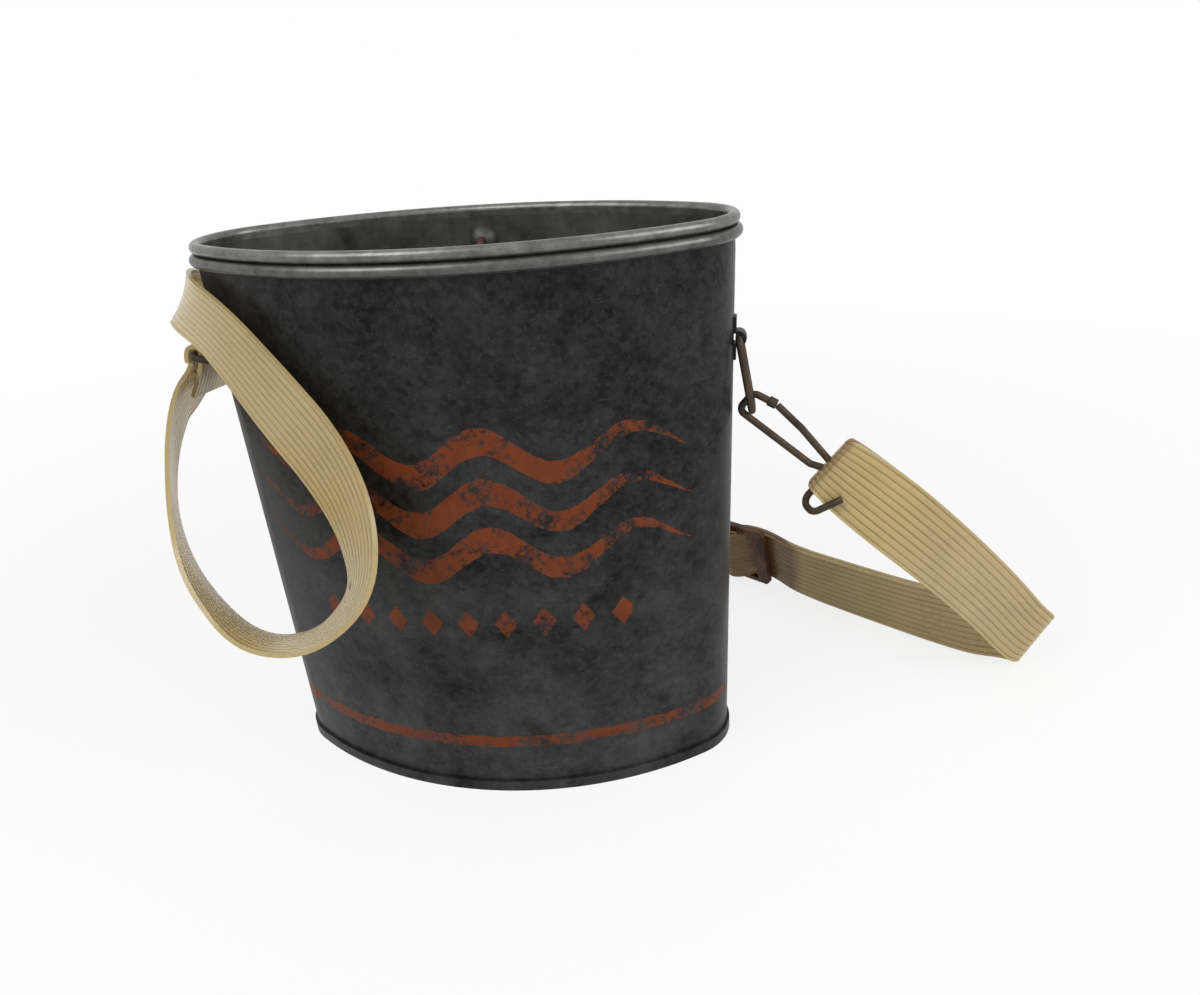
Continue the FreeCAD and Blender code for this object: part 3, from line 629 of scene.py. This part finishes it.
def vinyl_finish():
    """Yellowed ribbed vinyl with streaky grime, painted shade in its grooves, rust from the wires and one
    dark nick.
    """
    chosen = settings()
    finish = Finish(bpy.data.materials.new("strap_vinyl"))
    place = finish.strap_place()
    along, across = finish.parts(place)[:2]
    ribs = across * (chosen.strap_ribs * math.tau / chosen.strap_width)
    crest = finish.node("ShaderNodeMath", {"operation": "COSINE"}, {0: ribs})
    # Painted shade: darker vinyl along the bottom of each groove
    groove = (0.5 - crest * 0.5) ** GROOVE_SHADE_POWER
    streaks = finish.noise(finish.stretched(place, (30.0, 900.0, 1.0)), scale=1.0, detail=4.0)
    cloud = finish.noise(place, scale=42.0, detail=5.0)
    # Mask of grime from streaks and clouds, together with the painted shade of the grooves
    grime_and_groove_shade = finish.ramp(groove * 0.44 + streaks * 0.36 + cloud * 0.4, (0.38, 0.0), (0.95, 1.0))
    colour = finish.mix(grime_and_groove_shade, chosen.vinyl, chosen.vinyl_dirt_and_groove_shade)
    stain = 0.0
    for near, far, strength in RUST_STAINS:
        away = abs(along - (near + far) / 2) / ((far - near) / 2)
        stain = finish.ramp(away, (0.8, strength), (1.0, 0.0)) + stain
    colour = finish.mix(stain * (streaks * 0.4 + cloud * 0.4 + 0.4), colour, chosen.strap_rust)
    spots = finish.noise(place, scale=260.0, detail=4.0, roughness=0.7)
    specks = finish.ramp(spots, (0.7, 0.0), (0.78, 1.0))
    colour = finish.mix(specks * 0.4, colour, chosen.vinyl_dirt_and_groove_shade)
    nick = abs(along - NICK_PLACE[0]) / NICK_HALF[0] + abs(across - NICK_PLACE[1]) / NICK_HALF[1]
    colour = finish.mix(nick < 1.0, colour, chosen.wire_dark)
    rough = finish.ramp(cloud, (0.3, 0.17), (0.75, 0.32))
    relief = finish.bump(cloud, distance=0.00008, strength=0.3)
    finish.dress(Base_Color=colour, Roughness=rough, Normal=relief)
    return finish.dress(Transmission_Weight=0.45, IOR=1.4, Specular_IOR_Level=0.5)


def coat(names, material):
    """Give one material to CAD nodes."""
    for name in names:
        mesh = NODES[name].data
        mesh.materials.clear()
        mesh.materials.append(material)


def shown(name, bm, material, smooth=True):
    """Object at the origin, made from a finished bmesh."""
    mesh = bpy.data.meshes.new(name)
    bm.to_mesh(mesh)
    bm.free()
    mesh.materials.append(material)
    for face in mesh.polygons:
        face.use_smooth = smooth
    piece = bpy.data.objects.new(name, mesh)
    bpy.context.scene.collection.objects.link(piece)
    return piece


def at_slide(along, out):
    """Strap station at a place along the slide, so far out in front of its middle plane."""
    run = Vector((math.cos(SLIDE_HEADING), math.sin(SLIDE_HEADING), 0.0))
    up = Vector((0.0, 0.0, 1.0))
    across = run.cross(up) * math.sin(SLIDE_LEAN) + up * math.cos(SLIDE_LEAN)
    return SLIDE_CENTRE + run * along + run.cross(across) * out, across


def normal_at(stations, i):
    """Direction out of the strap's outer face at one of its stations."""
    before = stations[max(i - 1, 0)][0]
    after = stations[min(i + 1, len(stations) - 1)][0]
    return stations[i][1].cross(after - before).normalized()


def layer(side):
    """One of the two layers of the doubled strap, apart by more at the fold round the snap's bar."""
    moved = []
    for i, (middle, across) in enumerate(DOUBLED_RUN):
        gap = LAYER_HALF_GAP if i else FOLD_HALF_GAP
        moved.append((middle + normal_at(DOUBLED_RUN, i) * side * gap, across))
    return moved


def fold_turn():
    """Turn of the strap round the snap's bar, from the inner layer to the outer one."""
    middle, across = DOUBLED_RUN[0]
    out = normal_at(DOUBLED_RUN, 0) * FOLD_HALF_GAP
    back = (middle - DOUBLED_RUN[1][0]).normalized() * FOLD_HALF_GAP
    return [(middle - out + back, across), (middle + out + back, across)]


def smooth_line(points):
    """Points read from the NURBS curve that the given points control."""
    curve = bpy.data.curves.new("route", "CURVE")
    curve.dimensions = "3D"
    spline = curve.splines.new("NURBS")
    spline.points.add(len(points) - 1)
    for control, point in zip(spline.points, points):
        control.co = (*point, 1.0)
    spline.order_u = 3
    spline.use_endpoint_u = True
    spline.resolution_u = ROUTE_STEPS
    guide = bpy.data.objects.new("route", curve)
    mesh = bpy.data.meshes.new_from_object(guide)
    line = [vertex.co.copy() for vertex in mesh.vertices]
    bpy.data.objects.remove(guide)
    bpy.data.curves.remove(curve)
    bpy.data.meshes.remove(mesh)
    return line


def gather_at(span, centre, share, reach):
    """Share of the strap's width that one gather takes away at a span of its route."""
    nearness = max(1.0 - abs(span - centre) / reach, 0.0)
    return share * nearness * nearness * (3.0 - 2.0 * nearness)


def strap_route():
    """Middle, direction across and direction out at each step of the whole strap."""
    stations = [at_slide(*place) for place in ANCHOR] + layer(-1)[::-1]
    stations += fold_turn() + layer(1) + [at_slide(*place) for place in WEAVE]
    stations += LONG_RUN + LEFT_END
    half = settings().strap_width / 2
    middles = smooth_line([point for point, across in stations])
    edges = smooth_line([point + across * half for point, across in stations])
    route = []
    last = len(middles) - 1
    for i, (middle, edge) in enumerate(zip(middles, edges)):
        along = (middles[min(i + 1, last)] - middles[max(i - 1, 0)]).normalized()
        across = edge - middle
        across = (across - along * across.dot(along)).normalized()
        gathered = sum(gather_at(i / ROUTE_STEPS, *gather) for gather in GATHERS)
        out = across.cross(along).normalized()
        route.append((middle, across * (1.0 - gathered), out))
    return route


def ribbed_strap(name, route, first, last, material):
    """Stretch of ribbed strap between two spans of its route, bent from a flat grid, its line and length."""
    chosen = settings()
    stretch = route[first * ROUTE_STEPS:last * ROUTE_STEPS + 1]
    steps = len(stretch) - 1
    travelled = [0.0]
    for near, far in zip(route, route[1:last * ROUTE_STEPS + 1]):
        travelled.append(travelled[-1] + (far[0] - near[0]).length)
    travelled = travelled[first * ROUTE_STEPS:]
    bm = bmesh.new()
    bmesh.ops.create_grid(bm, x_segments=steps, y_segments=chosen.strap_ribs * RIB_STEPS, size=0.5)
    bmesh.ops.solidify(bm, geom=bm.faces[:], thickness=chosen.strap_thickness)
    middle_z = sum(vertex.co.z for vertex in bm.verts) / len(bm.verts)
    uv = bm.loops.layers.uv.new("along_across")
    for face in bm.faces:
        for loop in face.loops:
            flat = loop.vert.co
            step = round((flat.x + 0.5) * steps)
            loop[uv].uv = (travelled[step], flat.y * chosen.strap_width)
    for vertex in bm.verts:
        middle, across, out = stretch[round((vertex.co.x + 0.5) * steps)]
        share = vertex.co.y
        groove = (0.5 - 0.5 * math.cos(share * chosen.strap_ribs * math.tau)) ** GROOVE_POWER
        height = chosen.strap_thickness / 2 - chosen.rib_depth * groove
        side = math.copysign(1.0, vertex.co.z - middle_z)
        vertex.co = middle + across * (share * chosen.strap_width) + out * (side * height)
    bmesh.ops.recalc_face_normals(bm, faces=bm.faces[:])
    if bm.calc_volume(signed=True) < 0.0:
        bmesh.ops.reverse_faces(bm, faces=bm.faces[:])
    for edge in bm.edges:
        edge.smooth = edge.calc_face_angle(0.0) < SHARP_ANGLE
    piece = shown(name, bm, material)
    return piece, [middle for middle, across, out in stretch], travelled[-1] - travelled[0]


def drawn_on(bm, end, shift):
    """End face of a wire after it is drawn straight on."""
    drawn = bmesh.ops.extrude_face_region(bm, geom=[end])["geom"]
    corners = [part for part in drawn if isinstance(part, bmesh.types.BMVert)]
    bmesh.ops.translate(bm, verts=corners, vec=shift)
    return next(part for part in drawn if isinstance(part, bmesh.types.BMFace))


def bent_on(bm, end, centre):
    """End face of a wire after a quarter turn about a centre."""
    drawn = bmesh.ops.spin(
        bm, geom=[end], cent=centre, axis=(0.0, 1.0, 0.0), angle=math.pi / 2, steps=STAPLE_BEND_STEPS,
    )
    return next(part for part in drawn["geom_last"] if isinstance(part, bmesh.types.BMFace))


def staple(name, route, place, body, material):
    """Wire staple across the strap, with its crown on the outer face and two legs through the layers."""
    chosen = settings()
    span, leg = place
    half = chosen.staple_length / 2
    bm = bmesh.new()
    bmesh.ops.create_circle(bm, cap_ends=True, segments=STAPLE_SIDES, radius=chosen.staple_wire / 2)
    bmesh.ops.translate(bm, verts=bm.verts[:], vec=(-half, 0.0, -leg))
    end = drawn_on(bm, bm.faces[:][0], (0.0, 0.0, leg - STAPLE_BEND))
    end = bent_on(bm, end, (STAPLE_BEND - half, 0.0, -STAPLE_BEND))
    end = drawn_on(bm, end, ((half - STAPLE_BEND) * 2, 0.0, 0.0))
    end = bent_on(bm, end, (half - STAPLE_BEND, 0.0, -STAPLE_BEND))
    drawn_on(bm, end, (0.0, 0.0, STAPLE_BEND - leg))
    inside = [face for face in bm.faces if all(len(edge.link_faces) > 2 for edge in face.edges)]
    bmesh.ops.delete(bm, geom=inside, context="FACES_ONLY")
    bmesh.ops.recalc_face_normals(bm, faces=bm.faces[:])
    middle, across, out = route[round(span * ROUTE_STEPS)]
    across = across.normalized()
    turn = Matrix((across, out.cross(across), out)).transposed().to_4x4()
    crown = middle + out * (chosen.strap_thickness + chosen.staple_wire) / 2
    bmesh.ops.transform(bm, matrix=Matrix.Translation(crown) @ turn, verts=bm.verts[:])
    piece = shown(name, bm, material)
    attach(piece, body)
    return piece


class BUCKET_OT_sheet(bpy.types.Operator):
    """Finish the can's and the pail's sheet metal"""

    bl_idname = "bucket.sheet"
    bl_label = "Sheet metal"

    def execute(self, context):
        coat(CAN_SHEET, can_finish())
        coat(PAIL_SHEET, pail_finish())
        return {"FINISHED"}


class BUCKET_OT_wire(bpy.types.Operator):
    """Finish the bent wire and the strap's slide"""

    bl_idname = "bucket.wire"
    bl_label = "Wire and slide"

    def execute(self, context):
        coat(BENT_WIRE, wire_finish())
        coat(("strap_slide",), slide_finish())
        return {"FINISHED"}


class BUCKET_OT_strap(bpy.types.Operator):
    """Make the ribbed strap in pieces, bent along its route between the parts that carry it"""

    bl_idname = "bucket.strap"
    bl_label = "Strap"

    def execute(self, context):
        vinyl = vinyl_finish()
        route = strap_route()
        return_in = ribbed_strap("strap_return_inner", route, 0, RETURN_IN, vinyl)[0]
        rise_in, in_path, in_length = ribbed_strap("strap_rise_inner", route, RETURN_IN, FOLD_IN, vinyl)
        fold = ribbed_strap("strap_fold", route, FOLD_IN, FOLD_OUT, vinyl)[0]
        rise_out, out_path, out_length = ribbed_strap(
            "strap_rise_outer", route, FOLD_OUT, RETURN_OUT, vinyl,
        )
        return_out = ribbed_strap("strap_return_outer", route, RETURN_OUT, SLIDE_LEFT, vinyl)[0]
        long, long_path, long_length = ribbed_strap("strap_single", route, SLIDE_LEFT, LOOP_END, vinyl)
        tail = ribbed_strap("strap_left_end", route, LOOP_END, ROUTE_END, vinyl)[0]
        wire = NODES["snap_hook"].data.materials[0]
        anchor_staple = staple("staple_anchor", route, ANCHOR_STAPLE, "slide", wire)
        tail_staple = staple("staple_tail", route, TAIL_STAPLE, "left_link", wire)

        for piece in (return_in, return_out):
            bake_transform(piece)
        for piece in (rise_in, rise_out):
            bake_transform(piece)
        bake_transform(fold)
        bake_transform(long)
        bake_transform(tail)

        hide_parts("strap_inner")
        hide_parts("strap_outer")
        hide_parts("strap_long")
        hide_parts("strap_tail")
        return {"FINISHED"}


class BUCKET_OT_stage(bpy.types.Operator):
    """Make the floor, the lamps and the photograph's camera"""

    bl_idname = "bucket.stage"
    bl_label = "Stage"

    def execute(self, context):
        scene = context.scene
        scene.view_settings.view_transform = "Standard"
        self.add_floor()
        self.add_world(scene)
        chosen = settings()
        self.add_lamp(scene, "key_lamp", *KEY_LAMP, chosen.key_power)
        self.add_lamp(scene, "fill_lamp", *FILL_LAMP, chosen.fill_power)
        self.add_camera(scene)
        return {"FINISHED"}

    @staticmethod
    def add_floor():
        """Pale floor that fades to white away from the can and keeps its shadow."""
        finish = Finish(bpy.data.materials.new("pale_floor"))
        speckle = finish.noise(finish.place(), scale=12.0, detail=2.0)
        colour = finish.mix(speckle * 0.03, settings().floor_colour, FLOOR_TONE)
        finish.dress(Base_Color=colour, Roughness=0.9, Specular_IOR_Level=0.0)
        glow = finish.node("ShaderNodeEmission", sockets={"Color": WHITE, "Strength": 1.0})
        length = {"operation": "LENGTH"}
        away = finish.node("ShaderNodeVectorMath", length, {0: finish.place()}, output="Value")
        fade = finish.ramp(away, *FLOOR_GLOW)
        share = finish.background_rays() * fade
        plain = Shade(finish, finish.shader.outputs[0])
        mixed = finish.node("ShaderNodeMixShader", sockets={0: share, 1: plain, 2: glow})
        finish.feed(finish.tree.nodes["Material Output"].inputs["Surface"], mixed)
        bm = bmesh.new()
        bmesh.ops.create_grid(bm, x_segments=1, y_segments=1, size=FLOOR_HALF)
        shown("floor", bm, finish.owner, smooth=False)

    @staticmethod
    def add_world(scene):
        """White behind the floor, and soft light from all sides."""
        finish = Finish(bpy.data.worlds.new("studio"), "Background")
        strength = finish.background_rays() * (1.0 - AMBIENT) + AMBIENT
        scene.world = finish.dress(Color=WHITE, Strength=strength)

    @staticmethod
    def add_lamp(scene, name, place, size, power):
        """Square soft lamp aimed at the can."""
        data = bpy.data.lights.new(name, "AREA")
        data.size = size
        data.energy = power
        lamp = bpy.data.objects.new(name, data)
        lamp.location = place
        lamp.rotation_euler = (LAMP_AIM - place).to_track_quat("-Z", "Y").to_euler()
        scene.collection.objects.link(lamp)

    @staticmethod
    def add_camera(scene):
        """Camera at the photograph's viewing angle."""
        data = bpy.data.cameras.new("camera")
        data.lens = LENS_MM
        data.sensor_width = SENSOR_MM
        data.clip_start = 0.01
        camera = bpy.data.objects.new("camera", data)
        right = VIEW_FORWARD.cross(VIEW_UP).normalized()
        turn = Matrix((right, VIEW_UP, -VIEW_FORWARD)).transposed()
        camera.matrix_world = Matrix.Translation(EYE) @ turn.to_4x4()
        scene.collection.objects.link(camera)
        scene.camera = camera


class BUCKET_PT_panel(bpy.types.Panel):
    """Sidebar panel with the steps that dress the bucket"""

    bl_idname = "BUCKET_PT_panel"
    bl_label = "Bait bucket"
    bl_space_type = "VIEW_3D"
    bl_region_type = "UI"
    bl_category = "Bucket"

    def draw(self, context):
        layout = self.layout
        for name in BucketSettings.__annotations__:
            layout.prop(context.scene.bucket, name)
        for step in STEPS:
            layout.operator(step.bl_idname)


STEPS = (BUCKET_OT_stage, BUCKET_OT_sheet, BUCKET_OT_wire, BUCKET_OT_strap)
CLASSES = (BucketSettings, *STEPS, BUCKET_PT_panel)


def register():
    """Add the classes and the scene's settings."""
    for kind in CLASSES:
        bpy.utils.register_class(kind)
    bpy.types.Scene.bucket = bpy.props.PointerProperty(type=BucketSettings)


def unregister():
    """Take the classes and the settings away again."""
    del bpy.types.Scene.bucket
    for kind in reversed(CLASSES):
        bpy.utils.unregister_class(kind)


def main():
    """Dress the frame step by step."""
    register()
    bpy.ops.bucket.stage()
    bpy.ops.bucket.sheet()
    bpy.ops.bucket.wire()
    bpy.ops.bucket.strap()


if __name__ == "__main__":
    main()
